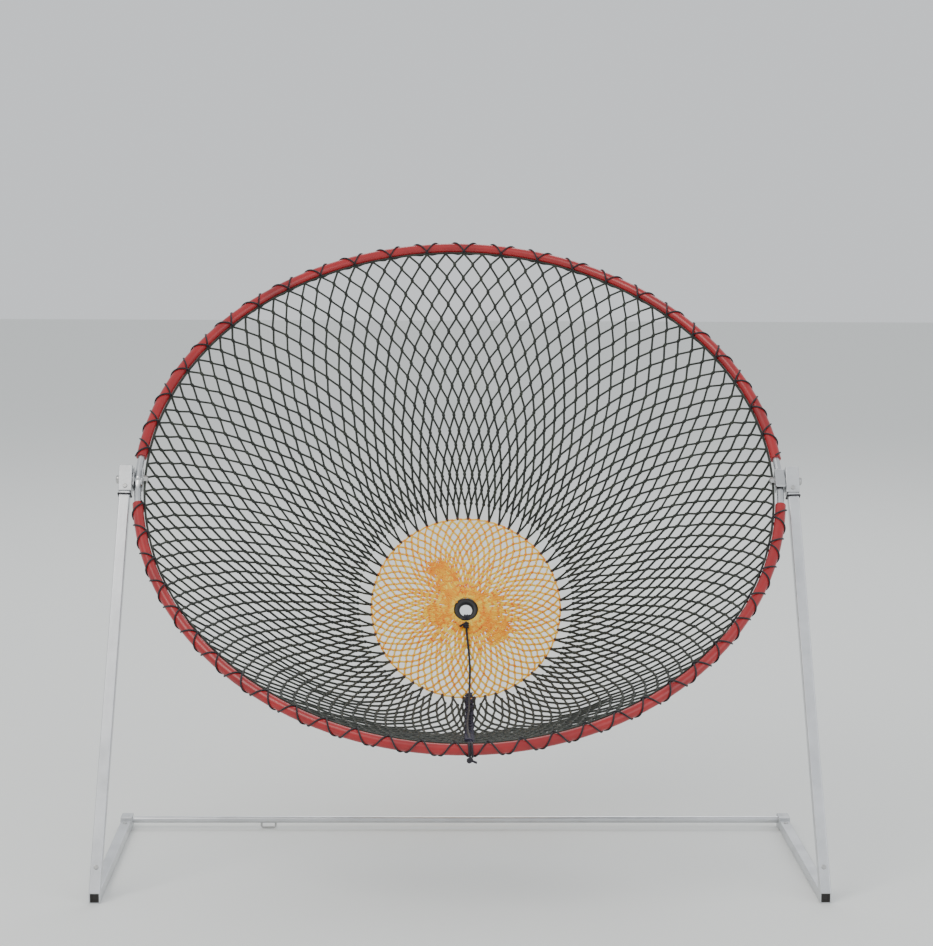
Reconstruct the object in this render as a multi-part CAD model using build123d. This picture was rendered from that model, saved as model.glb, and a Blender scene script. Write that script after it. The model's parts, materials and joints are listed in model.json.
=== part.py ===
# Golf chipping net: a hoop with a net bag, tilting between two leaning uprights on a three-sided base.
# Millimetres. The origin is on the ground under the middle of the hoop's tilt axis. +X is the user's right,
# +Y points away from the user and +Z is up. The hoop is modelled as it rests, leaning back.
import os
from math import atan2, cos, degrees, radians, sin, sqrt

from build123d import *

# Hoop
hoop_radius = 449.4  # to the middle of the rod
rod_diameter = 10.0
rod_bore = 7.0
sleeve_diameter = 15.0
hoop_tilt = 45.5  # degrees back from upright
pivot_height = 540.0
upper_sleeve_gap = 40.0  # bare rod from the tilt axis to the sleeve, along the rod
lower_sleeve_gap = 44.0
joiner_length = 70.0

# Stand
foot_span = 975.0  # between the middles of the side legs
foot_setback = 246.0  # from the tilt axis forward to the front ends of the side legs
leg_length = 400.0
tube_size = 15.0
tube_wall = 1.5
rear_bar_diameter = 10.0
rear_bar_wall = 1.5
rear_bar_height = 13.5
rear_block_width = 17.0
rear_block_length = 30.0
rear_block_height = 20.0
spigot_length = 28.0
front_spigot_length = 45.0
plug_length = 12.0

# Tilt brackets
head_length = 38.0
head_wall = 1.9
head_cap = 1.5
bracket_length = 34.0
bracket_depth = 18.0
bracket_wall = 1.5
pivot_diameter = 6.0
bush_wall = 1.5
washer_diameter = 13.0
washer_thickness = 0.8
nut_flats = 10.0
nut_thickness = 5.0
bolt_head_diameter = 12.0
bolt_head_height = 3.5

# Net
net_wall = 2.0
net_mouth_depth = 8.0  # the mouth of the bag lies this far behind the rod
net_mouth_clearance = 12.4  # from the middle of the rod inwards to the bag
target_radius = 139.0
target_side = 13.0  # the target hangs a little to the right
target_drop = 28.0  # the target's middle, down the hoop's plane from its centre
target_depth = 262.0  # and behind that plane
target_tilt = 28.3  # degrees back from upright
ring_radius = 14.0
ring_section = 10.0
ring_drop = 5.0  # the tie cord draws the ring below the target's middle
lacing_diameter = 2.0
lacing_turns = 27  # on each sleeve
tie_diameter = 3.2
tie_foot_x = 9.0  # where the tie cord is knotted to the foot of the hoop
knot_diameter = 9.0

# Small fixings
rivet_diameter = 3.2
rivet_head_diameter = 6.4
rivet_head_height = 1.2
screw_diameter = 5.0
screw_head_diameter = 9.0
set_screw_diameter = 4.0
band_diameter = 2.0
clip_wire = 3.0
clip_width = 24.0
clip_drop = 8.0
clip_place = -278.0  # along X

# Fits
slip = 0.15  # a tube on a spigot, a rod in a socket
running = 0.05  # the pivot in its bush, radially
touch = 0.1  # faces that slide past each other
soft_gap = 0.3  # soft parts beside what they touch

rod_radius = rod_diameter / 2
sleeve_radius = sleeve_diameter / 2
sleeve_bore = rod_diameter + 2 * slip
half_tube = tube_size / 2
tube_bore = tube_size - 2 * tube_wall
pivot_radius = pivot_diameter / 2
foot_x = foot_span / 2

up_dir = (0, sin(radians(hoop_tilt)), cos(radians(hoop_tilt)))
out_dir = (0, -cos(radians(hoop_tilt)), sin(radians(hoop_tilt)))
hoop_plane = Plane(origin=(0, 0, pivot_height), x_dir=(1, 0, 0), z_dir=out_dir)
hoop_frame = hoop_plane.location  # local X, local Y up the hoop, local Z out of its open side

# The head stands beside the rod with the bracket's flange and a washer between them.
head_half_width = half_tube + head_wall
rod_bow = hoop_radius - sqrt(hoop_radius**2 - (bracket_length / 2) ** 2)  # the rod curves this much in a bracket
bracket_half_width = rod_radius + rod_bow + touch + bracket_wall
head_offset = bracket_half_width + 2 * touch + washer_thickness + head_half_width
head_x = hoop_radius + head_offset

foot_point = Vector(foot_x, half_tube + touch - foot_setback, tube_size)
head_point = Vector(head_x, 0, pivot_height)
lean_back = atan2(head_point.Y - foot_point.Y, head_point.Z - foot_point.Z)
upright_vector = (head_point - foot_point).normalized()
upright_length = (head_point - foot_point).length

parts = {}


def mirrored(shape):
    """The same piece on the other side of the net."""
    return mirror(shape, about=Plane.YZ)


def add_pair(name, right):
    """Keep a right-hand piece and its mirror image as two nodes."""
    parts["right_" + name] = right
    parts["left_" + name] = mirrored(right)


def both(name, right):
    """Keep a right-hand fixing and its mirror image as one node of separate solids."""
    parts[name] = Compound(children=[right, mirrored(right)])


def square_tube(length, size=tube_size, bore=tube_bore):
    """A square tube along local Z from its origin."""
    return extrude(RectangleRounded(size, size, tube_wall) - RectangleRounded(bore, bore, tube_wall / 3), length)


def bar_along_x(radius, start, end, y=0.0, z=0.0):
    """A round bar parallel to X."""
    middle = (start + end) / 2
    return Pos(middle, y, z) * Rot(0, 90, 0) * Cylinder(radius, abs(end - start))


def lower_half_space(height):
    """Everything below a height, to trim with."""
    size = 4 * foot_span
    return Pos(0, 0, height - size / 2) * Box(size, size, size)


# ---- Side legs, rear corners and the rear bar ----
leg_front = -foot_setback
leg_back = leg_front + leg_length
bar_y = leg_back + rear_block_length / 2
block_inner_x = foot_x - rear_block_width / 2
socket_depth = rear_block_width - 5.0
spigot_size = tube_bore - 2 * slip
set_screw_inset = rear_block_width / 2 - socket_depth / 2
rivet_reach = tube_wall + 4.0


def side_leg():
    """A square tube on the ground, with holes for the foot bolt and the corner rivet."""
    tube = Pos(foot_x, leg_front, half_tube) * Rot(-90, 0, 0) * square_tube(leg_length)
    bolt_hole = Pos(foot_x, foot_point.Y, half_tube) * Cylinder(screw_diameter / 2 + touch, tube_size + 2)
    sink = Pos(foot_x, foot_point.Y, tube_wall / 2) * Cylinder(screw_head_diameter / 2 + touch, tube_wall + touch)
    rivet_hole = Pos(foot_x, leg_back - spigot_length / 2, tube_size) * Cylinder(rivet_diameter / 2, 4 * tube_wall)
    return tube - bolt_hole - sink - rivet_hole


def rear_corner():
    """A solid block behind the leg with a spigot in its tube and a socket for the rear bar."""
    block = Pos(foot_x, bar_y, rear_block_height / 2)
    block = block * Box(rear_block_width, rear_block_length, rear_block_height)
    block = fillet(block.edges(), 1.5)
    spigot = Pos(foot_x, leg_back - spigot_length / 2 + 1, half_tube)
    spigot = spigot * Box(spigot_size, spigot_length + 2, spigot_size)
    socket_end = block_inner_x + socket_depth
    socket = bar_along_x(rear_bar_diameter / 2 + slip, block_inner_x - 1, socket_end, bar_y, rear_bar_height)
    set_hole = Pos(foot_x - set_screw_inset, bar_y, rear_bar_height) * Cylinder(
        set_screw_diameter / 2, rear_block_height, align=(Align.CENTER, Align.CENTER, Align.MIN)
    )
    rivet_hole = Pos(foot_x, leg_back - spigot_length / 2, tube_size) * Cylinder(rivet_diameter / 2, rivet_reach * 2)
    return block + spigot - socket - set_hole - rivet_hole


def set_screw():
    """A headless screw from the top of the corner block down onto the rear bar."""
    low = rear_bar_height + rear_bar_diameter / 2
    length = rear_block_height - low - 0.2
    return Pos(foot_x - set_screw_inset, bar_y, low + length / 2) * Cylinder(set_screw_diameter / 2, length)


def rivet(reach):
    """A domed rivet along local Z, its head above the origin and its shank below."""
    head = Cylinder(rivet_head_diameter / 2, rivet_head_height, align=(Align.CENTER, Align.CENTER, Align.MIN))
    head = fillet(head.edges().sort_by(Axis.Z)[-1], rivet_head_height * 0.7)
    shank = Cylinder(rivet_diameter / 2, reach, align=(Align.CENTER, Align.CENTER, Align.MAX))
    return head + shank


add_pair("base_leg", side_leg())
add_pair("rear_corner", rear_corner())
bar_half = block_inner_x + socket_depth
parts["rear_bar"] = bar_along_x(rear_bar_diameter / 2, -bar_half, bar_half, bar_y, rear_bar_height) - bar_along_x(
    rear_bar_diameter / 2 - rear_bar_wall, -bar_half - 1, bar_half + 1, bar_y, rear_bar_height
)
both("rear_bar_set_screws", set_screw())
both("rear_corner_rivets", Pos(foot_x, leg_back - spigot_length / 2, tube_size) * rivet(rivet_reach - 0.2))


def front_plug():
    """A moulded plug pushed into the open front end of a side leg."""
    size = tube_bore - 2 * touch
    section = RectangleRounded(size, size, tube_wall / 2)
    body = Pos(foot_x, leg_front + 0.4, half_tube) * Rot(-90, 0, 0) * extrude(section, plug_length)
    dish = Pos(foot_x, leg_front, half_tube) * Box(size - 4, 3, size - 4)
    bolt_room = Pos(foot_x, foot_point.Y, half_tube) * Cylinder(screw_diameter / 2 + slip, tube_size)
    return body - dish - bolt_room


both("front_leg_plugs", front_plug())


# ---- Uprights ----
def upright_frame(distance):
    """A place on the right upright's axis, local Z up the tube and local Y towards the back."""
    return Plane(
        origin=foot_point + upright_vector * distance,
        x_dir=Vector(1, 0, 0) - upright_vector * upright_vector.X,
        z_dir=upright_vector,
    ).location


below_pivot = head_length / 2
upright_top = upright_length + head_length / 2 - head_cap - touch
bush_radius = pivot_radius + running + bush_wall
bush_hole = bar_along_x(bush_radius, head_x - 2 * head_half_width, head_x + 2 * head_half_width, 0, pivot_height)
foot_bolt_bite = 9.0  # into the spigot above the leg
overrun = 30.0  # the tube is made this much too long below and mitred on the leg
upright_rivet_at = front_spigot_length - 14.0


def upright_rivet_frame(distance):
    """The middle of the upright's front face, local Z pointing out of it."""
    return upright_frame(distance) * Pos(0, -half_tube, 0) * Rot(90, 0, 0)


def head_rivet_frame():
    """The middle of the head's front face near its lower end, local Z pointing out of it."""
    tilt = Pos(head_x, 0, pivot_height) * Rot(-degrees(lean_back), 0, 0)
    return tilt * Pos(0, -head_half_width, 7.0 - below_pivot) * Rot(90, 0, 0)


def upright():
    """A leaning square tube, mitred on the leg, with holes for the pivot bush and its rivets."""
    tube = upright_frame(-overrun) * square_tube(upright_top + overrun)
    tube -= lower_half_space(tube_size)
    tube -= bush_hole
    tube -= upright_rivet_frame(upright_rivet_at) * Cylinder(rivet_diameter / 2, 4 * tube_wall)
    return tube - head_rivet_frame() * Cylinder(rivet_diameter / 2, 4 * (head_wall + tube_wall))


def front_corner():
    """A solid spigot inside the foot of an upright, standing on the side leg and bolted down through it."""
    spigot = upright_frame(-overrun) * extrude(Rectangle(spigot_size, spigot_size), front_spigot_length + overrun)
    spigot -= lower_half_space(tube_size)
    spigot -= Pos(foot_x, foot_point.Y, tube_size) * Cylinder(screw_diameter / 2, 2 * foot_bolt_bite + 0.4)
    return spigot - upright_rivet_frame(upright_rivet_at) * Cylinder(rivet_diameter / 2, 2 * rivet_reach)


def foot_bolt():
    """A countersunk-style bolt from under the leg up into the foot of the upright."""
    head = Pos(foot_x, foot_point.Y, 0.3) * Cylinder(
        screw_head_diameter / 2, tube_wall - 0.3, align=(Align.CENTER, Align.CENTER, Align.MIN)
    )
    shank = Pos(foot_x, foot_point.Y, 0.3) * Cylinder(
        screw_diameter / 2, tube_size + foot_bolt_bite - 0.3, align=(Align.CENTER, Align.CENTER, Align.MIN)
    )
    return head + shank


add_pair("upright", upright())
add_pair("front_corner", front_corner())
both("foot_bolts", foot_bolt())
both("upright_rivets", upright_rivet_frame(upright_rivet_at) * rivet(rivet_reach - 0.2))


def head():
    """A cap on top of the upright, with its flat inner face square to the tilt axis."""
    width = 2 * head_half_width
    tilt = Pos(head_x, 0, pivot_height) * Rot(-degrees(lean_back), 0, 0)
    body = tilt * Box(width, width, head_length)
    body = fillet(body.edges(), 1.2)
    pocket = tube_size + 2 * slip
    room = upright_frame(upright_length - head_length) * Box(
        pocket, pocket, 1.5 * head_length - head_cap, align=(Align.CENTER, Align.CENTER, Align.MIN)
    )
    rivet_hole = head_rivet_frame() * Cylinder(rivet_diameter / 2, 20)
    return body - room - bush_hole - rivet_hole


def pivot_bush():
    """A plain nylon tube through the head that the pivot bolt turns in."""
    tube = bar_along_x(bush_radius, head_x - head_half_width, head_x + head_half_width, 0, pivot_height)
    bore = bar_along_x(pivot_radius + running, head_x - 99, head_x + 99, 0, pivot_height)
    return tube - bore


def cord_band():
    """A loop of cord tied round the upright just below its head."""
    inner = tube_size + 2 * soft_gap
    outer = inner + 2 * band_diameter
    ring = RectangleRounded(outer, outer, 3.0) - RectangleRounded(inner, inner, 1.2)
    ring = extrude(ring, band_diameter)
    ring = fillet(ring.edges(), band_diameter * 0.3)
    return upright_frame(upright_length - below_pivot - 2 * band_diameter - 1) * ring


add_pair("upright_head", head())
both("pivot_bushes", pivot_bush())
both("head_rivets", head_rivet_frame() * rivet(head_wall + 3.0))
both("upright_cord_bands", cord_band())


def bar_clip():
    """A bent wire staple under the rear bar."""
    top = rear_bar_height - rear_bar_diameter / 2
    drop = min(clip_drop, top + clip_wire / 2 - 0.5) - clip_wire / 2
    reach = clip_width / 2 - clip_wire / 2
    path = FilletPolyline(
        (-reach, 0, 0), (-reach, 0, -drop), (reach, 0, -drop), (reach, 0, 0), radius=drop * 0.45
    )
    wire = sweep(Plane(path @ 0, z_dir=path % 0) * Circle(clip_wire / 2), path=path)
    return Pos(clip_place, bar_y, top) * wire - bar_along_x(
        rear_bar_diameter / 2, clip_place - clip_width, clip_place + clip_width, bar_y, rear_bar_height
    )


parts["rear_bar_clip"] = bar_clip()


# ---- Hoop rod, sleeves and joiners, in the hoop's own frame ----
def arc_tube(radius, bore_radius, start, sweep_angle):
    """Part of a round tube bent on the hoop's circle, from one angle through another."""
    section = Plane.XZ * Pos(hoop_radius, 0) * Circle(radius)
    if bore_radius:
        section -= Plane.XZ * Pos(hoop_radius, 0) * Circle(bore_radius)
    return Rot(0, 0, start) * revolve(section, Axis.Z, sweep_angle)


def arc_angle(length):
    """The angle that a length of the rod takes up."""
    return degrees(length / hoop_radius)


cross_hole = bar_along_x(pivot_radius + running, -hoop_radius - 50, hoop_radius + 50)
rod_halves = {"right_hoop_rod": -90, "left_hoop_rod": 90}
for rod_name, rod_start in rod_halves.items():
    parts[rod_name] = hoop_frame * (arc_tube(rod_radius, rod_bore / 2, rod_start, 180) - cross_hole)

joiner_angle = arc_angle(joiner_length)
for joiner_name, joiner_middle in {"upper_rod_joiner": 90, "lower_rod_joiner": -90}.items():
    joiner = arc_tube(rod_bore / 2 - slip / 2, 0, joiner_middle - joiner_angle / 2, joiner_angle)
    parts[joiner_name] = hoop_frame * joiner

upper_gap_angle = arc_angle(upper_sleeve_gap)
lower_gap_angle = arc_angle(lower_sleeve_gap)
sleeve_spans = {
    "upper_sleeve": (upper_gap_angle, 180 - 2 * upper_gap_angle),
    "lower_sleeve": (180 + lower_gap_angle, 180 - 2 * lower_gap_angle),
}
for sleeve_name, (sleeve_start, sleeve_sweep) in sleeve_spans.items():
    parts[sleeve_name] = hoop_frame * arc_tube(sleeve_radius, sleeve_bore / 2, sleeve_start, sleeve_sweep)


def sleeve_loop(angle, cord_diameter):
    """One turn of cord round a sleeve at an angle round the hoop."""
    loop = Torus(sleeve_radius + soft_gap + cord_diameter / 2, cord_diameter / 2)
    return Rot(0, 0, angle) * Pos(hoop_radius, 0, 0) * Rot(90, 0, 0) * loop


def lacing():
    """The turns of the lacing cord round both sleeves, as plain separate loops."""
    loops = []
    for start, sweep_angle in sleeve_spans.values():
        step = sweep_angle / lacing_turns
        for turn in range(lacing_turns):
            loops.append(hoop_frame * sleeve_loop(start + (turn + 0.5) * step, lacing_diameter))
    return Compound(children=loops)


parts["hoop_lacing"] = lacing()


# ---- Tilt brackets and pivots, in the hoop's own frame ----
def bracket(web_side):
    """A folded channel that holds the rod, its web on the given side of the rod."""
    width = 2 * bracket_half_width
    channel = Box(width, bracket_length, bracket_depth)
    channel = fillet(channel.edges().filter_by(Axis.Y), 1.0)
    channel = fillet(channel.edges().filter_by(Axis.X), 4.0)
    room = width - 2 * bracket_wall
    depth = bracket_depth - bracket_wall
    channel -= Pos(0, 0, -web_side * (bracket_wall / 2 + 1)) * Box(room, bracket_length + 2, depth + 2)
    return Pos(hoop_radius, 0, 0) * channel


def washer(inner_x, thickness, outer_diameter=washer_diameter):
    """A flat washer on the pivot, from an X outwards."""
    disc = bar_along_x(outer_diameter / 2, inner_x, inner_x + thickness)
    return disc - bar_along_x(pivot_radius + running, inner_x - 1, inner_x + thickness + 1)


inner_flange_x = hoop_radius - bracket_half_width
nut_x = inner_flange_x - touch - washer_thickness
head_face_x = head_x + head_half_width
outer_washer_x = head_face_x + touch


def pivot_bolt():
    """A domed bolt from the outside, through the head, bracket and rod."""
    bolt_head_x = outer_washer_x + washer_thickness
    shank = bar_along_x(pivot_radius, nut_x - nut_thickness - 1.0, bolt_head_x)
    dome = bar_along_x(bolt_head_diameter / 2, bolt_head_x, bolt_head_x + bolt_head_height)
    dome = fillet(dome.edges().sort_by(Axis.X)[-1], bolt_head_height * 0.75)
    return shank + dome


def pivot_nut():
    """A plain hexagonal lock nut inside the bracket."""
    nut = extrude(RegularPolygon(nut_flats / 2, 6, major_radius=False), nut_thickness)
    nut -= Cylinder(pivot_radius, 3 * nut_thickness)
    return Pos(nut_x, 0, 0) * Rot(0, -90, 0) * nut


parts["right_hoop_bracket"] = hoop_frame * (bracket(1) - cross_hole)
parts["left_hoop_bracket"] = hoop_frame * (mirrored(bracket(-1)) - cross_hole)
both("pivot_bolts", hoop_frame * pivot_bolt())
both("pivot_nuts", hoop_frame * pivot_nut())
washers = [
    washer(inner_flange_x - touch - washer_thickness, washer_thickness),
    washer(hoop_radius + bracket_half_width + touch, washer_thickness),
    washer(outer_washer_x, washer_thickness),
]
washers += [mirrored(one) for one in washers]
parts["pivot_washers"] = Compound(children=[hoop_frame * one for one in washers])


# ---- Net bag, target, ring and cords, in the hoop's own frame ----
# The bag narrows from the mouth to the target and sags at its foot. Each round between them has its place
# from mouth to target, its radius beside a straight cone's, how far it drops and how much of the target's
# tilt it has taken up.
mouth_radius = hoop_radius - net_mouth_clearance
bag_rounds = [
    (0.327, 4.0, 10.5, 0.18),
    (0.647, 8.0, 17.0, 0.49),
    (0.831, 7.0, 12.0, 0.69),
]
target_lean = hoop_tilt - target_tilt


def bag_loft(offset):
    """The bag's round sections from mouth to target, shrunk by a wall thickness."""
    rounds = [Pos(0, 0, -net_mouth_depth) * Circle(mouth_radius - offset)]
    for place, swell, drop, lean in bag_rounds:
        radius = mouth_radius + (target_radius - mouth_radius) * place + swell - offset
        depth = net_mouth_depth + (target_depth - net_mouth_depth) * place
        middle = Pos(target_side * place, -target_drop * place - drop, -depth)
        rounds.append(middle * Rot(target_lean * lean, 0, 0) * Circle(radius))
    rounds.append(target_frame * Circle(target_radius - offset))
    return loft(rounds)


target_frame = Pos(target_side, -target_drop, -target_depth) * Rot(target_lean, 0, 0)


def target_net():
    """The target as a thin round disc behind the bag's small end, with a hole for the ring."""
    disc = Cylinder(target_radius, net_wall, align=(Align.CENTER, Align.CENTER, Align.MAX))
    hole = Cylinder(ring_radius + ring_section / 2 + soft_gap, 4 * net_wall)
    return target_frame * (disc - Pos(0, -ring_drop, 0) * hole)


def sector(side, rise):
    """A quarter of the space round the hoop's axis, as a block."""
    reach = 2 * hoop_radius
    quarter = (Align.MIN if side > 0 else Align.MAX, Align.MIN if rise > 0 else Align.MAX, Align.CENTER)
    return Box(reach, reach, reach, align=quarter)


# The bag is one net. It is kept as four quarters that meet face to face.
whole_bag = bag_loft(0) - bag_loft(net_wall)
for row_name, rise in {"upper": 1, "lower": -1}.items():
    for side_name, side in {"right": 1, "left": -1}.items():
        parts[f"{row_name}_{side_name}_net"] = hoop_frame * (whole_bag & sector(side, rise))
parts["target_net"] = hoop_frame * target_net()
ring_frame = target_frame * Pos(0, -ring_drop, -net_wall / 2)
parts["centre_ring"] = hoop_frame * ring_frame * Torus(ring_radius, ring_section / 2)

# The tie cord's route in the hoop's own frame: from the knot under the ring down the face of the target,
# over its edge, and along the foot of the net to the hoop.
tie_points = [
    (12.8, -58.6, -263.2),
    (14.6, -80.0, -269.0),
    (17.4, -104.0, -278.5),
    (18.4, -129.0, -283.5),
    (17.0, -156.0, -287.5),
    (16.4, -187.0, -274.0),
    (14.6, -222.0, -250.0),
    (11.6, -259.0, -220.0),
    (11.0, -299.0, -179.0),
    (10.4, -333.0, -136.0),
    (10.6, -366.0, -89.5),
    (9.6, -402.0, -38.5),
    (9.0, -439.7, 0.0),
]
tie_turns = 0.45  # each bend uses this share of its shorter run


def route_radii(points):
    """The largest arc that each corner of a route leaves room for."""
    corners = [Vector(*point) for point in points]
    radii = []
    for before, here, after in zip(corners, corners[1:], corners[2:]):
        shorter = min((here - before).length, (after - here).length)
        half_turn = radians((here - before).get_angle(after - here)) / 2
        radii.append(tie_turns * shorter / sin(half_turn) * cos(half_turn))
    return radii


def tie_cord():
    """The tie cord as a plain round tube."""
    path = FilletPolyline(*tie_points, radius=route_radii(tie_points))
    return sweep(Plane(path @ 0, z_dir=path % 0) * Circle(tie_diameter / 2), path=path)


cord = tie_cord()
foot_angle = -90 + degrees(tie_foot_x / hoop_radius)
foot_loop = sleeve_loop(foot_angle, tie_diameter)
knot_radius = knot_diameter / 2
foot_knot_radius = hoop_radius + sleeve_radius + soft_gap + tie_diameter + knot_radius * 0.7
foot_knot = Rot(0, 0, foot_angle) * Pos(foot_knot_radius, 0, -2) * Sphere(knot_radius)
hitch = Pos(*tie_points[-1]) * Sphere(tie_diameter / 2 + soft_gap)  # where the cord is hitched to its turn round the sleeve
parts["tie_cord"] = hoop_frame * cord
parts["upper_tie_knot"] = hoop_frame * (Pos(*tie_points[0]) * Sphere(knot_radius) - cord)
parts["lower_tie_knot"] = hoop_frame * (foot_loop + foot_knot + hitch - cord)

for node_name, shape in parts.items():
    shape.label = node_name

if __name__ == "__main__":
    os.makedirs("parts", exist_ok=True)
    print("tie cord bends, mm:", [round(radius) for radius in route_radii(tie_points)])
    print("head middle at X", round(head_x, 2), "lean back, degrees", round(degrees(lean_back), 2))
    for node_name, shape in parts.items():
        export_step(shape, f"parts/{node_name}.step")
        print(node_name, "solids", len(shape.solids()), "valid", shape.is_valid)
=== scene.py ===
import json
import math
import random

import bmesh
import bpy
from mathutils import Matrix, Vector


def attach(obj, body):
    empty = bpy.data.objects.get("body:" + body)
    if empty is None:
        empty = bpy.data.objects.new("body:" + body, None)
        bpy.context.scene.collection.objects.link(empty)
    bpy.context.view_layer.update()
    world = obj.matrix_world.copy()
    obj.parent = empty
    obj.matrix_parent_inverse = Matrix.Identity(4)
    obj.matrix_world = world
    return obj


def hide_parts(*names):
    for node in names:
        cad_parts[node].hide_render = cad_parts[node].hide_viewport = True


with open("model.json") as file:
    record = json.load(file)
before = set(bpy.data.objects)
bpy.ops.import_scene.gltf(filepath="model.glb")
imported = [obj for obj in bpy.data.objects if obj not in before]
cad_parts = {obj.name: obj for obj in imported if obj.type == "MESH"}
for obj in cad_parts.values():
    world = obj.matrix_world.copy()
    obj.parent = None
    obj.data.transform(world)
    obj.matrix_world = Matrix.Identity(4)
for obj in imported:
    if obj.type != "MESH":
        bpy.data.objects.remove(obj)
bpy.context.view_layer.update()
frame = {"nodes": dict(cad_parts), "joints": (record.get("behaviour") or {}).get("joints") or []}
print("frame loaded:", len(frame["nodes"]), "nodes")

# The hoop's own axes: x to the right, up along the hoop's plane, out of its open side.
tilt = math.radians(45.5)
pivot = Vector(frame["joints"][0]["pos_m"])
hoopUp = Vector((0, math.sin(tilt), math.cos(tilt)))
hoopOut = Vector((0, -math.cos(tilt), math.sin(tilt)))
hoop = {
    "radius": 0.4494,  # middle of the rod
    "sleeve": 0.0075,  # sleeve's radius
    "upperGap": 5.1,  # degrees from the tilt axis to each sleeve's end
    "lowerGap": 5.6,
}


def onHoop(x, up, out):
    return pivot + Vector((x, 0, 0)) + hoopUp * up + hoopOut * out


# camera
view = {
    "place": (-0.0673, -3.746, 0.968),
    "turn": 0.0205,
    "dip": 0.111,
    "roll": 0.005,
    "lens": 102.37,
}


def makeCamera():
    turn, dip, roll = view["turn"], view["dip"], view["roll"]
    ahead = Vector((math.sin(turn) * math.cos(dip), math.cos(turn) * math.cos(dip), -math.sin(dip)))
    side = Vector((math.cos(turn), -math.sin(turn), 0))
    rise = side.cross(ahead)
    right = side * math.cos(roll) + rise * math.sin(roll)
    top = rise * math.cos(roll) - side * math.sin(roll)
    data = bpy.data.cameras.new("camera")
    data.lens = view["lens"]
    data.sensor_width = 36
    data.clip_end = 50
    cam = bpy.data.objects.new("camera", data)
    bpy.context.collection.objects.link(cam)
    turnMatrix = Matrix((right, top, -ahead)).transposed().to_4x4()
    cam.matrix_world = Matrix.Translation(view["place"]) @ turnMatrix
    bpy.context.scene.camera = cam


makeCamera()
print("camera placed")


# materials
def newMaterial(name, colour, roughness, metallic=0.0):
    mat = bpy.data.materials.new(name)
    mat.use_nodes = True
    shader = mat.node_tree.nodes["Principled BSDF"]
    shader.inputs["Base Color"].default_value = (*colour, 1)
    shader.inputs["Roughness"].default_value = roughness
    shader.inputs["Metallic"].default_value = metallic
    return mat, mat.node_tree, shader


def objectCoords(tree, stretch=(1, 1, 1), turn=(0, 0, 0)):
    coords = tree.nodes.new("ShaderNodeTexCoord")
    mapping = tree.nodes.new("ShaderNodeMapping")
    mapping.inputs["Scale"].default_value = stretch
    mapping.inputs["Rotation"].default_value = turn
    tree.links.new(coords.outputs["Object"], mapping.inputs["Vector"])
    return mapping.outputs["Vector"]


def noiseNode(tree, vector, scale, detail=4.0, roughness=0.55):
    noise = tree.nodes.new("ShaderNodeTexNoise")
    noise.inputs["Scale"].default_value = scale
    noise.inputs["Detail"].default_value = detail
    noise.inputs["Roughness"].default_value = roughness
    tree.links.new(vector, noise.inputs["Vector"])
    return noise.outputs["Fac"]


def rampNode(tree, value, stops):
    ramp = tree.nodes.new("ShaderNodeValToRGB")
    while len(ramp.color_ramp.elements) < len(stops):
        ramp.color_ramp.elements.new(0.5)
    for element, (place, colour) in zip(ramp.color_ramp.elements, stops):
        element.position = place
        element.color = (*colour, 1)
    tree.links.new(value, ramp.inputs["Fac"])
    return ramp.outputs["Color"]


def rangeNode(tree, value, low, high):
    spread = tree.nodes.new("ShaderNodeMapRange")
    spread.inputs["To Min"].default_value = low
    spread.inputs["To Max"].default_value = high
    tree.links.new(value, spread.inputs["Value"])
    return spread.outputs["Result"]


def bumpNode(tree, height, strength, distance, before=None):
    bump = tree.nodes.new("ShaderNodeBump")
    bump.inputs["Strength"].default_value = strength
    bump.inputs["Distance"].default_value = distance
    tree.links.new(height, bump.inputs["Height"])
    if before:
        tree.links.new(before, bump.inputs["Normal"])
    return bump.outputs["Normal"]


def twineFinish(name, stops, roughness=0.72, fuzz=0.35, twist=900):
    mat, tree, shader = newMaterial(name, stops[0][1], roughness)
    coords = objectCoords(tree)
    patches = noiseNode(tree, coords, 60, 3)
    colour = rampNode(tree, patches, stops)
    tree.links.new(colour, shader.inputs["Base Color"])
    fibres = noiseNode(tree, coords, twist, 2, 0.7)
    lay = tree.nodes.new("ShaderNodeTexWave")
    lay.inputs["Scale"].default_value = twist / 3
    lay.inputs["Distortion"].default_value = 2.5
    lay.inputs["Detail"].default_value = 1
    lay.bands_direction = "DIAGONAL"
    tree.links.new(coords, lay.inputs["Vector"])
    first = bumpNode(tree, lay.outputs["Fac"], 0.5, 0.0004)
    tree.links.new(bumpNode(tree, fibres, 0.4, 0.0003, first), shader.inputs["Normal"])
    tree.links.new(rangeNode(tree, fibres, roughness - 0.12, roughness + 0.12), shader.inputs["Roughness"])
    shader.inputs["Sheen Weight"].default_value = fuzz
    shader.inputs["Sheen Roughness"].default_value = 0.5
    return mat


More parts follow.
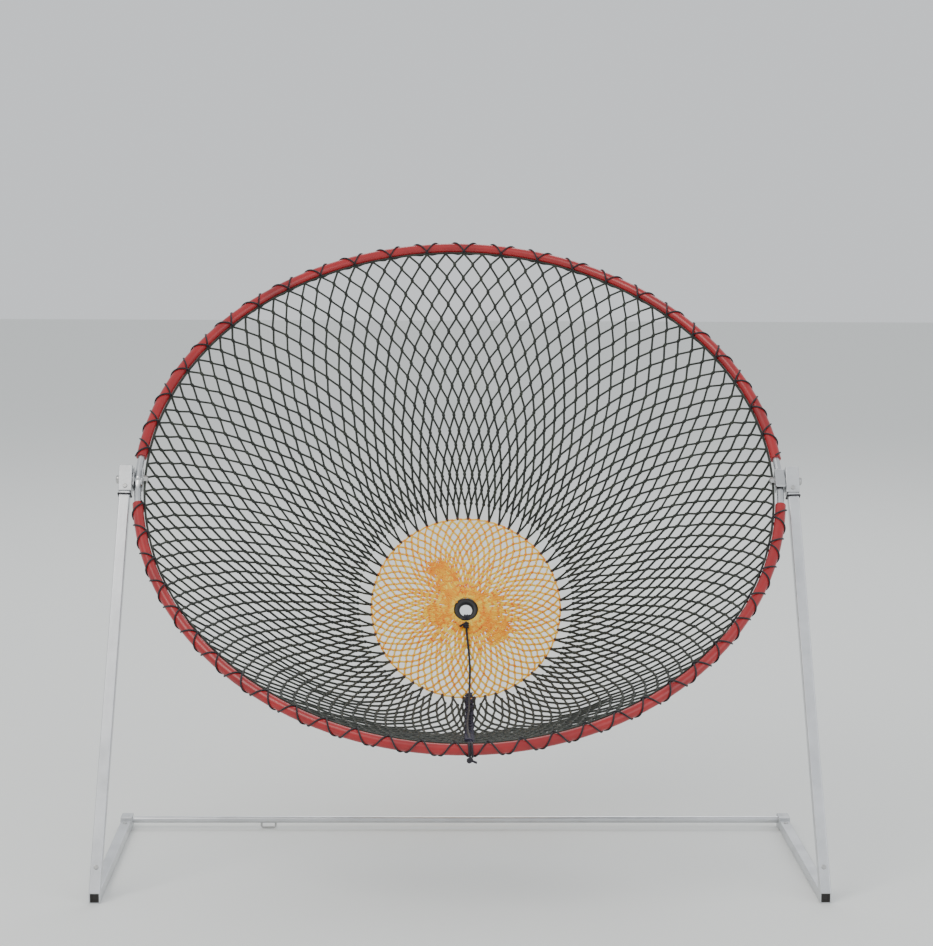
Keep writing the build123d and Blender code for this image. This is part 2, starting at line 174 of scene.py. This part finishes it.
def metalFinish(name, colour, roughness, stretch=(1, 1, 1), turn=(0, 0, 0), grain=0.25, marks=0.5):
    mat, tree, shader = newMaterial(name, colour, roughness, 1.0)
    lines = noiseNode(tree, objectCoords(tree, stretch, turn), 260, 3, 0.6)
    coords = objectCoords(tree)
    clouds = noiseNode(tree, coords, 22, 5, 0.6)
    dull = tuple(part * (1 - 0.22 * marks) for part in colour)
    light = tuple(min(1.0, part * 1.06) for part in colour)
    tree.links.new(
        rampNode(tree, clouds, [(0.3, dull), (0.55, colour), (0.8, light)]), shader.inputs["Base Color"]
    )
    mix = tree.nodes.new("ShaderNodeMath")
    mix.operation = "MULTIPLY_ADD"
    tree.links.new(lines, mix.inputs[0])
    mix.inputs[1].default_value = 0.22
    tree.links.new(rangeNode(tree, clouds, roughness - 0.16, roughness + 0.02), mix.inputs[2])
    tree.links.new(mix.outputs[0], shader.inputs["Roughness"])
    dents = bumpNode(tree, clouds, 0.12, 0.002)
    tree.links.new(bumpNode(tree, lines, grain, 0.0003, dents), shader.inputs["Normal"])
    return mat


def skinFinish(name, colour, dark, roughness, grainScale, grain, cloudScale=18, coat=0.0):
    mat, tree, shader = newMaterial(name, colour, roughness)
    coords = objectCoords(tree)
    clouds = noiseNode(tree, coords, cloudScale, 5, 0.62)
    tree.links.new(rampNode(tree, clouds, [(0.28, dark), (0.6, colour)]), shader.inputs["Base Color"])
    fine = noiseNode(tree, coords, grainScale, 4, 0.6)
    tree.links.new(rangeNode(tree, fine, roughness - 0.1, roughness + 0.14), shader.inputs["Roughness"])
    soft = bumpNode(tree, clouds, 0.15, 0.0015)
    tree.links.new(bumpNode(tree, fine, grain, 0.0003, soft), shader.inputs["Normal"])
    shader.inputs["Coat Weight"].default_value = coat
    shader.inputs["Coat Roughness"].default_value = 0.18
    return mat


alongX, alongY, alongZ = (0.04, 1, 1), (1, 0.04, 1), (1, 1, 0.04)
lean = math.radians(24.4)
blackTwine = twineFinish(
    "black twine",
    [(0.3, (0.006, 0.009, 0.006)), (0.52, (0.015, 0.02, 0.013)), (0.75, (0.032, 0.038, 0.025))],
    fuzz=0.12,
)
orangeTwine = twineFinish(
    "orange twine",
    [(0.3, (0.92, 0.42, 0.008)), (0.5, (0.95, 0.56, 0.025)), (0.7, (0.97, 0.7, 0.09))],
    fuzz=0.15,
)
orangeKnots = twineFinish("orange knots", [(0.3, (0.88, 0.17, 0.002)), (0.6, (0.93, 0.33, 0.006))], fuzz=0.1)
orangeGather = twineFinish(
    "orange gathers",
    [(0.3, (0.9, 0.24, 0.001)), (0.52, (0.94, 0.38, 0.004)), (0.75, (0.96, 0.54, 0.02))],
    fuzz=0.1,
)
rimTwine = twineFinish("rim ties", [(0.3, (0.03, 0.008, 0.006)), (0.6, (0.08, 0.018, 0.012))])
laceTwine = twineFinish(
    "lacing cord", [(0.3, (0.005, 0.005, 0.007)), (0.6, (0.016, 0.015, 0.02))], fuzz=0.12, twist=1200
)
seamTwine = twineFinish("seam twine", [(0.3, (0.008, 0.006, 0.02)), (0.6, (0.024, 0.018, 0.05))], fuzz=0.12)
cordFinish = twineFinish(
    "tie cord", [(0.3, (0.005, 0.004, 0.008)), (0.6, (0.016, 0.013, 0.022))], fuzz=0.12, twist=1400
)
hoseRed = skinFinish("red hose", (0.36, 0.009, 0.012), (0.24, 0.005, 0.008), 0.34, 500, 0.12, coat=0.25)
blackRubber = skinFinish("black rubber", (0.016, 0.016, 0.018), (0.008, 0.008, 0.009), 0.5, 700, 0.25)
blackPlug = skinFinish("black plug", (0.02, 0.017, 0.015), (0.01, 0.009, 0.008), 0.55, 600, 0.2)
nylon = skinFinish("nylon bush", (0.75, 0.73, 0.66), (0.6, 0.58, 0.52), 0.5, 500, 0.1)
legMetal = metalFinish("leg aluminium", (0.66, 0.67, 0.685), 0.33, alongY)
barMetal = metalFinish("bar aluminium", (0.66, 0.67, 0.685), 0.33, alongX)
uprightMetal = metalFinish("upright aluminium", (0.66, 0.67, 0.685), 0.33, alongZ, (lean, 0, 0))
castMetal = metalFinish("fitting aluminium", (0.6, 0.61, 0.62), 0.4, marks=0.8)
rodMetal = metalFinish("rod aluminium", (0.64, 0.65, 0.66), 0.3)
zinc = metalFinish("zinc fixings", (0.52, 0.52, 0.51), 0.34, marks=0.9)
print("materials ready")


# helpers for pieces
def addObject(name, data, material, body):
    piece = bpy.data.objects.new(name, data)
    bpy.context.collection.objects.link(piece)
    if material:
        piece.data.materials.clear()
        piece.data.materials.append(material)
    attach(piece, body)
    return piece


def tubesFrom(name, lines, radius, sides=1, smooth=False, closed=False):
    curve = bpy.data.curves.new(name, "CURVE")
    curve.dimensions = "3D"
    curve.bevel_depth = radius
    curve.bevel_resolution = sides
    curve.resolution_u = 3
    curve.use_fill_caps = True
    for line in lines:
        spline = curve.splines.new("NURBS" if smooth else "POLY")
        spline.points.add(len(line) - 1)
        for point, place in zip(spline.points, line):
            point.co = (*place, 1)
        spline.use_cyclic_u = closed
        if smooth:
            spline.order_u = 3
            spline.use_endpoint_u = not closed
    holder = bpy.data.objects.new(name, curve)
    bpy.context.collection.objects.link(holder)
    bpy.context.view_layer.update()
    mesh = bpy.data.meshes.new_from_object(holder.evaluated_get(bpy.context.evaluated_depsgraph_get()))
    bpy.data.objects.remove(holder)
    bpy.data.curves.remove(curve)
    return mesh


def joinMeshes(name, meshes):
    bm = bmesh.new()
    for mesh in meshes:
        bm.from_mesh(mesh)
    joined = bpy.data.meshes.new(name)
    bm.to_mesh(joined)
    bm.free()
    for face in joined.polygons:
        face.use_smooth = True
    return joined


def knotMesh(name, places, size, subdivisions=1):
    bm = bmesh.new()
    for centre, along, across in places:
        normal = along.cross(across).normalized()
        across = normal.cross(along).normalized()
        turn = Matrix((across, normal, along.normalized())).transposed().to_4x4()
        scale = Matrix.Diagonal((size[0], size[1], size[2], 1))
        bmesh.ops.create_icosphere(
            bm, subdivisions=subdivisions, radius=1, matrix=Matrix.Translation(centre) @ turn @ scale
        )
    mesh = bpy.data.meshes.new(name)
    bm.to_mesh(mesh)
    bm.free()
    return mesh


# tie cord
tieRoute = [
    (12.8, -58.6, -263.2), (14.6, -80.0, -269.0), (17.4, -104.0, -278.5), (18.4, -129.0, -283.5),
    (17.0, -156.0, -287.5), (16.4, -187.0, -274.0), (14.6, -222.0, -250.0), (11.6, -259.0, -220.0),
    (11.0, -299.0, -179.0), (10.4, -333.0, -136.0), (10.6, -366.0, -89.5), (9.6, -402.0, -38.5),
    (9.0, -439.7, 0.0),
]
tie = {"thickness": 0.0032, "footX": 0.009}


def tiePoints():
    return [onHoop(x / 1000, up / 1000, out / 1000) for x, up, out in tieRoute]


def makeTieCord():
    curve = bpy.data.curves.new("tie_cord_line", "CURVE")
    curve.dimensions = "3D"
    curve.bevel_depth = tie["thickness"] / 2
    curve.bevel_resolution = 3
    curve.resolution_u = 12
    curve.use_fill_caps = True
    spline = curve.splines.new("NURBS")
    points = tiePoints()
    spline.points.add(len(points) - 1)
    for point, place in zip(spline.points, points):
        point.co = (*place, 1)
    spline.order_u = 3
    spline.use_endpoint_u = True
    piece = addObject("tie_cord_line", curve, cordFinish, "hoop")
    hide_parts("tie_cord")
    length = sum(one.calc_length() for one in curve.splines)
    return piece, length


tieCord, tieLength = makeTieCord()
print("tie cord laid:", round(tieLength, 3), "m")

# net surface
# Each round: place from mouth to target, extra radius, drop and share of the target's lean.
bag = {
    "mouth": 0.4408,
    "mouthDepth": 0.0,
    "target": 0.139,
    "side": 0.013,
    "drop": 0.028,
    "ringDrop": 0.005,
    "depth": 0.262,
    "lean": math.radians(17.2),
    "rounds": [
        (0.0, 0.0, 0.0, 0.0), (0.327, 0.004, 0.0105, 0.18), (0.647, 0.008, 0.017, 0.49),
        (0.831, 0.007, 0.012, 0.69), (1.0, 0.0, 0.0, 1.0),
    ],
}


def roundAt(place):
    rounds = bag["rounds"]
    index = max(1, min(len(rounds) - 1, next((i for i, one in enumerate(rounds) if one[0] >= place), 99)))
    before, after = rounds[index - 1], rounds[index]
    older = rounds[index - 2] if index > 1 else before
    later = rounds[index + 1] if index + 1 < len(rounds) else after
    t = (place - before[0]) / (after[0] - before[0])
    values = []
    for k in (1, 2, 3):
        span = after[0] - before[0]
        slopeA = (after[k] - older[k]) / max(1e-6, after[0] - older[0]) * span
        slopeB = (later[k] - before[k]) / max(1e-6, later[0] - before[0]) * span
        t2, t3 = t * t, t * t * t
        values.append(
            before[k] * (2 * t3 - 3 * t2 + 1) + slopeA * (t3 - 2 * t2 + t)
            + after[k] * (3 * t2 - 2 * t3) + slopeB * (t3 - t2)
        )
    return values


def netPoint(angle, place, inset=0.0):
    swell, drop, share = roundAt(place)
    radius = bag["mouth"] + (bag["target"] - bag["mouth"]) * place + swell - inset
    depth = bag["mouthDepth"] + (bag["depth"] - bag["mouthDepth"]) * place
    turn = bag["lean"] * share
    across = radius * math.cos(angle)
    rise = radius * math.sin(angle)
    return onHoop(
        bag["side"] * place + across,
        -bag["drop"] * place - drop + rise * math.cos(turn),
        -depth + rise * math.sin(turn),
    )


netting = {
    "meshes": 112,
    "rows": 18,  # half meshes down to the last full row
    "bar": 0.0232,
    "strand": 0.00165,
    "knot": (0.0030, 0.0027, 0.0034),
    "tuck": 0.0013,  # half the stretch over which two strands run together in a knot
    "crowd": 0.128,  # meshes are this much wider at the top of the hoop
    "start": -0.024,  # radians from the top of the hoop to the first knot
    "stray": 0.0009,
    "swellSize": 0.003,
    "seed": 7,
}


def rowPlaces():
    places, total = [0.0], 0.0
    steps = []
    for row in range(netting["rows"] + 1):
        radius = bag["mouth"] + (bag["target"] - bag["mouth"]) * row / (netting["rows"] + 1)
        half = math.pi * radius / netting["meshes"]
        steps.append(math.sqrt(netting["bar"] ** 2 - half ** 2))
    steps[0] *= 0.95
    full = sum(steps)
    for step in steps:
        total += step
        places.append(total / full)
    return places


def meshAngle(index, place):
    even = 2 * math.pi * index / netting["meshes"]
    crowd = netting["crowd"] * (1 - place)
    return math.pi / 2 + netting["start"] * (1 - place) - (even + crowd * math.sin(even))


def gentleWave(angle, place):
    size = netting["swellSize"]
    wave = math.sin(5 * angle + 7 * place) + 0.7 * math.sin(9 * angle - 11 * place + 1.3)
    return size * 0.5 * wave * math.sin(math.pi * min(1.0, place))


def makeKnots():
    rng = random.Random(netting["seed"])
    places = rowPlaces()
    meshes = netting["meshes"]
    rows = []
    for row in range(netting["rows"] + 1):
        place = places[row]
        knots = []
        for index in range(meshes):
            shift = index + 0.5 * (row % 2)
            angle = meshAngle(shift, place)
            stray = netting["stray"] if row else 0.0002
            radius = bag["mouth"] + (bag["target"] - bag["mouth"]) * place
            # the seam at the foot draws the nearest meshes together
            fromFoot = (shift - meshes / 2) * 2 * math.pi * radius / meshes
            if row and abs(fromFoot) < 0.05:
                pull = 0.45 * (1 - abs(fromFoot) / 0.05)
                angle += pull * fromFoot / radius
            point = netPoint(angle, place, gentleWave(angle, place))
            point += Vector([rng.uniform(-stray, stray) for _ in range(3)])
            knots.append(point)
        rows.append(knots)
    return rows, places


def makeBlackNet():
    rows, places = makeKnots()
    meshes, lastRow = netting["meshes"], netting["rows"]
    rimPoints = []
    for index in range(meshes // 2):
        angle = meshAngle(2 * index + 0.5, 1.0)
        rimPoints.append(netPoint(angle, 1.0, -0.0012))
    tuck = netting["tuck"]

    def downward(row, index):
        here = rows[row][index]
        above = rows[max(0, row - 2)][index] if row > 1 else here
        below = rows[min(lastRow, row + 2)][index] if row < lastRow - 1 else here
        return (below - above).normalized()

    lines = []
    for hand in (0, -1):
        for start in range(meshes):
            line = []
            index = start
            for row in range(lastRow + 1):
                if row:
                    # odd rows sit half a mesh along, so a step goes to the same number or to its neighbour
                    step = hand if row % 2 else hand + 1
                    index = (index + step) % meshes
                centre = rows[row][index]
                along = downward(row, index) * tuck
                if row:
                    line.append(centre - along)
                line.append(centre + along * (1 if row < lastRow else 0.3))
            lines.append(line)
    ends = []
    for index in range(meshes):
        rim = rimPoints[index // 2]
        ends.append([rows[lastRow][index], rows[lastRow][index].lerp(rim, 0.5) + hoopUp * -0.0006, rim])
    strands = tubesFrom("strands", lines + ends, netting["strand"])
    rimLine = [knot + (onHoop(0, 0, 0) - knot) * 0.002 for knot in rows[0]]
    edge = tubesFrom("edge", [rimLine], netting["strand"], closed=True)
    knots = []
    for row in range(1, lastRow + 1):
        for index in range(meshes):
            along = downward(row, index)
            nextOne = rows[row][(index + 1) % meshes] - rows[row][index]
            knots.append((rows[row][index], along, nextOne))
    lumps = knotMesh("lumps", knots, netting["knot"])
    mesh = joinMeshes("black_netting", [strands, edge, lumps])
    net = addObject("black_netting", mesh, blackTwine, "hoop")
    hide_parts("upper_right_net", "upper_left_net", "lower_right_net", "lower_left_net")
    return net, rimPoints


blackNet, rimPoints = makeBlackNet()
print("black netting made:", len(blackNet.data.polygons), "faces")

# target
target = {
    "meshes": 66,
    "rows": 13,
    "bar": 0.0109,
    "inner": 0.0172,
    "dish": 0.005,  # the ring is drawn this far out by the tie cord
    "strand": 0.0016,
    "knot": (0.0025, 0.0021, 0.0030),
    "tuck": 0.0008,
    "stray": 0.0015,
    "rim": 0.0013,
    "wander": 0.0022,
    "ripple": 0.0008,
    # Degrees round the ring, and how hard the meshes are drawn there.
    "pulls": ((128, 0.32), (-15, 0.3), (186, 0.26)),
    "seed": 21,
}


def onTarget(radius, angle, rise=0.0):
    turn = bag["lean"]
    share = min(1.0, max(0.0, (radius - target["inner"]) / (bag["target"] - target["inner"])))
    height = rise + target["dish"] * (1 - share) ** 2
    upward, out = radius * math.sin(angle) - bag["ringDrop"] * (1 - share) ** 0.7, height
    return onHoop(
        bag["side"] + radius * math.cos(angle),
        -bag["drop"] + upward * math.cos(turn) - out * math.sin(turn),
        -bag["depth"] + upward * math.sin(turn) + out * math.cos(turn),
    )


def gatherShift(angle, share):
    inward = (1 - share) ** 1.5
    pull = 0.0
    for middle, strength in target["pulls"]:
        away = (angle - math.radians(middle) + math.pi) % (2 * math.pi) - math.pi
        pull -= strength * math.sin(away) * math.exp(-(away / 0.9) ** 2)
    return pull * inward


def makeTarget():
    rng = random.Random(target["seed"])
    meshes, lastRow = target["meshes"], target["rows"]
    outer = bag["target"] - 0.0012
    rows = []
    steps = []
    for row in range(lastRow):
        radius = outer - (outer - target["inner"]) * row / lastRow
        steps.append(math.sqrt(target["bar"] ** 2 - (math.pi * radius / meshes) ** 2))
    full = sum(steps)
    done = 0.0
    for row in range(lastRow + 1):
        radius = outer - (outer - target["inner"]) * done / full
        share = (radius - target["inner"]) / (outer - target["inner"])
        if row < lastRow:
            done += steps[row]
        knots = []
        for index in range(meshes):
            angle = 2 * math.pi * (index + 0.5 * (row % 2)) / meshes
            angle += gatherShift(angle, share)
            jitter = target["stray"] * (1.6 - share) if 0 < row < lastRow else 0.0002
            wander = target["wander"] * math.sin(3 * angle + 5 * share) * math.sin(math.pi * share)
            reach = radius + wander + rng.uniform(-jitter, jitter)
            around = angle + rng.uniform(-jitter, jitter) / max(radius, 0.04)
            knots.append(onTarget(reach, around, rng.uniform(-target["ripple"], target["ripple"])))
        rows.append(knots)
    lines = []
    for hand in (0, -1):
        for start in range(meshes):
            line, index = [], start
            for row in range(lastRow + 1):
                if row:
                    index = (index + (hand if row % 2 else hand + 1)) % meshes
                here = rows[row][index]
                nearRow = rows[max(0, row - 1)][index]
                inward = (rows[min(lastRow, row + 1)][index] - nearRow).normalized() * target["tuck"]
                if row:
                    line.append(here - inward)
                if row < lastRow:
                    line.append(here + inward)
            lines.append(line)
    strands = tubesFrom("targetStrands", lines, target["strand"])
    rim = []
    for index in range(meshes * 4):
        angle = 2 * math.pi * index / (meshes * 4)
        rim.append(onTarget(outer + 0.0008 + 0.0005 * math.sin(angle * meshes), angle, 0.0))
    rimStrand = tubesFrom("targetRim", [rim], target["rim"], closed=True)
    mesh = joinMeshes("target_netting", [strands, rimStrand])
    net = addObject("target_netting", mesh, orangeTwine, "hoop")
    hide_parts("target_net")
    knots = []
    for row in range(0, lastRow):
        for index in range(meshes):
            inward = rows[lastRow][index] - rows[row][index]
            knots.append((rows[row][index], inward, rows[row][(index + 1) % meshes] - rows[row][index]))
    lumps = joinMeshes("target_knots", [knotMesh("lumps", knots, target["knot"])])
    addObject("target_knots", lumps, orangeKnots, "hoop")


makeTarget()


# Each gather: middle angle, spread in degrees, inner and outer radius, strands, heading off the radius.
gathers = {
    "patches": [
        (127, 13, 0.024, 0.052, 60, 0.0), (122, 9, 0.048, 0.084, 75, 0.25), (196, 17, 0.026, 0.056, 80, 0.1),
        (20, 5, 0.026, 0.054, 22, 0.0), (-14, 12, 0.024, 0.046, 50, 0.3), (-32, 13, 0.036, 0.064, 70, 0.8),
        (-40, 8, 0.058, 0.072, 26, 1.5), (160, 12, 0.022, 0.034, 20, 0.0), (-80, 26, 0.022, 0.036, 34, 0.1),
        (60, 30, 0.022, 0.033, 30, 0.0),
    ],
    "strand": 0.00105,
    "length": (0.010, 0.024),
    "lift": (0.0002, 0.0016),  # least and most that a strand's middle stands proud
    "sway": 0.0011,
    "ripple": 0.0003,
    "inside": 0.0205,  # strands keep about this far from the ring's middle
    "insideStray": 0.004,
    "steps": 8,
    "seed": 5,
}


def makeGathers():
    rng = random.Random(gathers["seed"])
    steps = gathers["steps"]
    lines = []
    for middle, spread, inner, outer, count, heading in gathers["patches"]:
        for _ in range(count):
            angle = math.radians(middle + max(-1.7, min(1.7, rng.gauss(0, 0.75))) * spread)
            radius = rng.uniform(inner, outer)
            length = rng.uniform(*gathers["length"])
            way = heading + rng.gauss(0, 0.22)
            phase = rng.uniform(0, 6.28)
            lift = rng.uniform(*gathers["lift"])
            line = []
            for step in range(steps + 1):
                along = length * (step / steps - 0.5)
                side = gathers["sway"] * math.sin(phase + step * 1.6)
                reach = radius + along * math.cos(way) - side * math.sin(way)
                drift = along * math.sin(way) + side * math.cos(way)
                reach = max(gathers["inside"] + gathers["insideStray"] * math.sin(phase), reach)
                ripple = gathers["ripple"] * math.sin(phase + 2 * step)
                rise = lift * math.sin(math.pi * step / steps) + ripple
                line.append(onTarget(reach, angle + drift / reach, rise))
            lines.append(line)
    mesh = tubesFrom("gathers", lines, gathers["strand"], smooth=True)
    addObject("target_gathers", joinMeshes("target_gathers", [mesh]), orangeGather, "hoop")


makeGathers()
print("target made")


rimTies = {"knot": (0.0025, 0.0023, 0.0034)}


def makeRimTies():
    knots = []
    for index, place in enumerate(rimPoints):
        outward = (place - onHoop(bag["side"], -bag["drop"], -bag["depth"])).normalized()
        across = rimPoints[(index + 1) % len(rimPoints)] - place
        knots.append((place, outward, across))
    mesh = knotMesh("rim_ties", knots, rimTies["knot"], 2)
    addObject("rim_ties", joinMeshes("rim_ties", [mesh]), rimTwine, "hoop")


makeRimTies()

# lacing
lacing = {
    "radius": 0.00115,
    "gap": 0.0002,
    "points": 16,
    "front": 0.34,  # share of each turn that runs over the front of the sleeve
    "cross": 0.45,  # radians from the inner edge to where the two cords cross
}


def aroundSleeve(angle, turn, gap):
    reach = hoop["sleeve"] + gap + lacing["radius"]
    radius = hoop["radius"] + reach * math.cos(turn)
    return onHoop(radius * math.cos(angle), radius * math.sin(angle), reach * math.sin(turn))


def laceTurn(share):
    first = math.pi - lacing["cross"]
    if share < lacing["front"]:
        return first * (1 - share / lacing["front"])
    behind = 2 * (share - lacing["front"]) / (1 - lacing["front"]) - 1  # runs along the back of the sleeve
    return -(2 * math.pi - first) * (0.5 + 0.5 * math.copysign(abs(behind) ** 1.9, behind))


def makeLacing():
    laces = netting["meshes"] // 2
    first = math.pi - lacing["cross"]
    lines = []
    for hand in (1, -1):
        line = []
        for step in range(laces * lacing["points"] + 1):
            turns = step / lacing["points"]
            angle = meshAngle(2 * hand * turns, 0.0)
            turn = laceTurn(turns % 1)
            aroundHoop = math.degrees(angle) % 360
            fromAxis = min(aroundHoop % 180, 180 - aroundHoop % 180)
            bare = hoop["upperGap"] if aroundHoop < 180 else hoop["lowerGap"]
            if fromAxis < bare - 0.2:
                if len(line) > 4:
                    lines.append(line)
                line = []
                continue
            over = 0.5 * (1 + math.cos(turn - first)) if hand < 0 else 0.0
            line.append(aroundSleeve(angle, turn, lacing["gap"] + 2.1 * lacing["radius"] * over ** 8))
        if len(line) > 4:
            lines.append(line)
    mesh = tubesFrom("lacing", lines, lacing["radius"], smooth=True)
    piece = addObject("hoop_lacing_cords", joinMeshes("hoop_lacing_cords", [mesh]), laceTwine, "hoop")
    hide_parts("hoop_lacing")


makeLacing()
print("lacing wound")

# seam at the foot of the net
seam = {
    "lines": 6,
    "radius": 0.0011,
    "width": 0.0062,
    "footX": 0.0088,  # its place across, at the hoop
    "drift": 0.0080,  # and how far it moves across on the way to the target
    "lift": 0.0052,
    "wave": 0.0028,
    "seed": 3,
}


def makeSeam():
    rng = random.Random(seam["seed"])
    lines = []
    foot = -math.pi / 2
    for number in range(seam["lines"]):
        phase = rng.uniform(0, 6.28)
        width = seam["width"] * rng.uniform(0.5, 1.1)
        pitch = rng.uniform(30, 44)
        line = []
        for step in range(100):
            place = 1.0 - 0.99 * step / 99
            radius = bag["mouth"] + (bag["target"] - bag["mouth"]) * place
            turn = place * pitch * 3 + phase
            across = seam["footX"] + seam["drift"] * place - bag["side"] * place + width * math.sin(turn)
            lift = seam["lift"] + seam["wave"] * math.cos(turn + number)
            line.append(netPoint(foot + across / radius, place, lift))
        lines.append(line)
    mesh = tubesFrom("seam", lines, seam["radius"], smooth=True)
    addObject("foot_seam", joinMeshes("foot_seam", [mesh]), seamTwine, "hoop")


makeSeam()


# knots of the tie cord
hitches = {
    "ringRadius": 0.014,  # from the ring's middle to the middle of its section
    "ringSection": 0.0050,  # half the ring's thickness
    "ringGap": 0.0002,
    "ringWraps": 0.0031,
    "sleeveGap": 0.0003,
    "footKnot": 0.0028,
    "footKnotTwo": 0.0026,
}


def loopAround(centre, axisOne, axisTwo, radius, drift, turns, points=12):
    line = []
    for step in range(int(turns * points) + 1):
        turn = 2 * math.pi * step / points
        place = centre + axisOne * radius * math.cos(turn) + axisTwo * radius * math.sin(turn)
        line.append(place + drift * step / points)
    return line


def makeTieKnots():
    thick = tie["thickness"] / 2
    points = tiePoints()
    leanBack = bag["lean"]
    faceUp = (hoopUp * math.cos(leanBack) + hoopOut * math.sin(leanBack)).normalized()
    faceOut = (hoopOut * math.cos(leanBack) - hoopUp * math.sin(leanBack)).normalized()
    ringMiddle = onHoop(bag["side"], -bag["drop"], -bag["depth"]) - faceUp * bag["ringDrop"] - faceOut * 0.001
    right = Vector((1, 0, 0))
    sectionMiddle = ringMiddle - faceUp * hitches["ringRadius"]
    radius = hitches["ringSection"] + thick + hitches["ringGap"]
    ringLoop = loopAround(sectionMiddle - right * 0.0018, faceUp, faceOut, radius, right * 0.0035, 2)
    start = points[0]
    wraps = loopAround(start + faceUp * 0.002, right, faceOut, hitches["ringWraps"], -faceUp * 0.0031, 2.4)
    link = [
        sectionMiddle - faceUp * 0.0065 + faceOut * 0.001,
        start + faceUp * 0.006 + faceOut * 0.0015,
        start + faceUp * 0.001,
    ]
    tail = [
        start + right * -0.002 + faceOut * 0.002,
        start - right * 0.0055 - faceUp * 0.001 + faceOut * 0.003,
        start - right * 0.0095 - faceUp * 0.0035 + faceOut * 0.0015,
    ]
    mesh = tubesFrom("ringHitch", [ringLoop, wraps, link, tail], thick, sides=2, smooth=True)
    upper = addObject("ring_hitch", joinMeshes("ring_hitch", [mesh]), cordFinish, "hoop")
    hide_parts("upper_tie_knot")

    footAngle = math.radians(-90) + tie["footX"] / hoop["radius"]
    middle = onHoop(hoop["radius"] * math.cos(footAngle), hoop["radius"] * math.sin(footAngle), 0)
    radius = hoop["sleeve"] + hitches["sleeveGap"] + thick
    sleeveLoop = loopAround(middle - right * 0.002, hoopUp, hoopOut, radius, right * 0.0036, 2)
    drop = hoop["sleeve"] + hitches["sleeveGap"] + tie["thickness"] + hitches["footKnot"]
    below = middle - hoopUp * drop - hoopOut * 0.002
    knotA = loopAround(below, right, hoopOut, hitches["footKnot"], -hoopUp * 0.0016, 1.8)
    knotB = loopAround(below - hoopUp * 0.0008, hoopUp, hoopOut, hitches["footKnotTwo"], right * 0.0012, 1.5)
    tailB = [below, below + right * 0.005 - hoopUp * 0.0035, below + right * 0.009 - hoopUp * 0.005]
    hitch = [
        points[-1] + hoopUp * 0.001,
        middle + hoopUp * (hoop["sleeve"] + 0.0018),
        middle + hoopUp * (hoop["sleeve"] + 0.0012) + right * 0.003,
    ]
    mesh = tubesFrom("footHitch", [sleeveLoop, knotA, knotB, tailB, hitch], thick, sides=2, smooth=True)
    lower = addObject("foot_hitch", joinMeshes("foot_hitch", [mesh]), cordFinish, "hoop")
    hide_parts("lower_tie_knot")
    return upper, lower


ringHitch, footHitch = makeTieKnots()
print("seam and knots made")

# finishes for the carried parts
finishes = {
    "right_base_leg": legMetal, "left_base_leg": legMetal,
    "right_rear_corner": castMetal, "left_rear_corner": castMetal,
    "right_front_corner": castMetal, "left_front_corner": castMetal,
    "right_upright_head": castMetal, "left_upright_head": castMetal,
    "right_hoop_bracket": castMetal, "left_hoop_bracket": castMetal,
    "right_upright": uprightMetal, "left_upright": uprightMetal,
    "rear_bar": barMetal, "right_hoop_rod": rodMetal, "left_hoop_rod": rodMetal,
    "upper_rod_joiner": rodMetal, "lower_rod_joiner": rodMetal,
    "rear_bar_set_screws": zinc, "rear_corner_rivets": zinc, "foot_bolts": zinc, "upright_rivets": zinc,
    "head_rivets": zinc, "pivot_bolts": zinc, "pivot_nuts": zinc, "pivot_washers": zinc,
    "rear_bar_clip": zinc,
    "front_leg_plugs": blackPlug, "pivot_bushes": nylon, "upper_sleeve": hoseRed, "lower_sleeve": hoseRed,
    "upright_cord_bands": laceTwine, "centre_ring": blackRubber,
}
for nodeName, finish in finishes.items():
    piece = frame["nodes"][nodeName]
    for materialSlot in piece.material_slots:
        materialSlot.material = finish
print("finishes given to", len(finishes), "carried parts")

# floor and light
studio = {"floor": 14, "floorColour": (0.8, 0.81, 0.79), "world": (0.9, 0.93, 0.96), "worldStrength": 0.9}


def makeStudio():
    bm = bmesh.new()
    bmesh.ops.create_grid(bm, x_segments=1, y_segments=1, size=studio["floor"])
    mesh = bpy.data.meshes.new("floor")
    bm.to_mesh(mesh)
    bm.free()
    floor = bpy.data.objects.new("floor", mesh)
    bpy.context.collection.objects.link(floor)
    mat, tree, shader = newMaterial("floor", studio["floorColour"], 0.85)
    mesh.materials.append(mat)
    world = bpy.data.worlds.new("studio")
    bpy.context.scene.world = world
    world.use_nodes = True
    world.node_tree.nodes["Background"].inputs["Color"].default_value = (*studio["world"], 1)
    world.node_tree.nodes["Background"].inputs["Strength"].default_value = studio["worldStrength"]
    lights = [
        ("key", (-2.2, -2.6, 4.2), 2.6, 110, (1.0, 0.97, 0.92)),
        ("fill", (3.0, -3.0, 2.4), 3.0, 45, (0.93, 0.96, 1.0)),
        ("back", (0.5, 3.4, 3.6), 2.5, 50, (1.0, 1.0, 1.0)),
    ]
    for name, place, size, power, colour in lights:
        data = bpy.data.lights.new(name, "AREA")
        data.size = size
        data.energy = power
        data.color = colour
        lamp = bpy.data.objects.new(name, data)
        bpy.context.collection.objects.link(lamp)
        lamp.location = place
        aim = Vector((0, 0, 0.4)) - Vector(place)
        lamp.rotation_euler = aim.to_track_quat("-Z", "Y").to_euler()


makeStudio()
print("studio set")
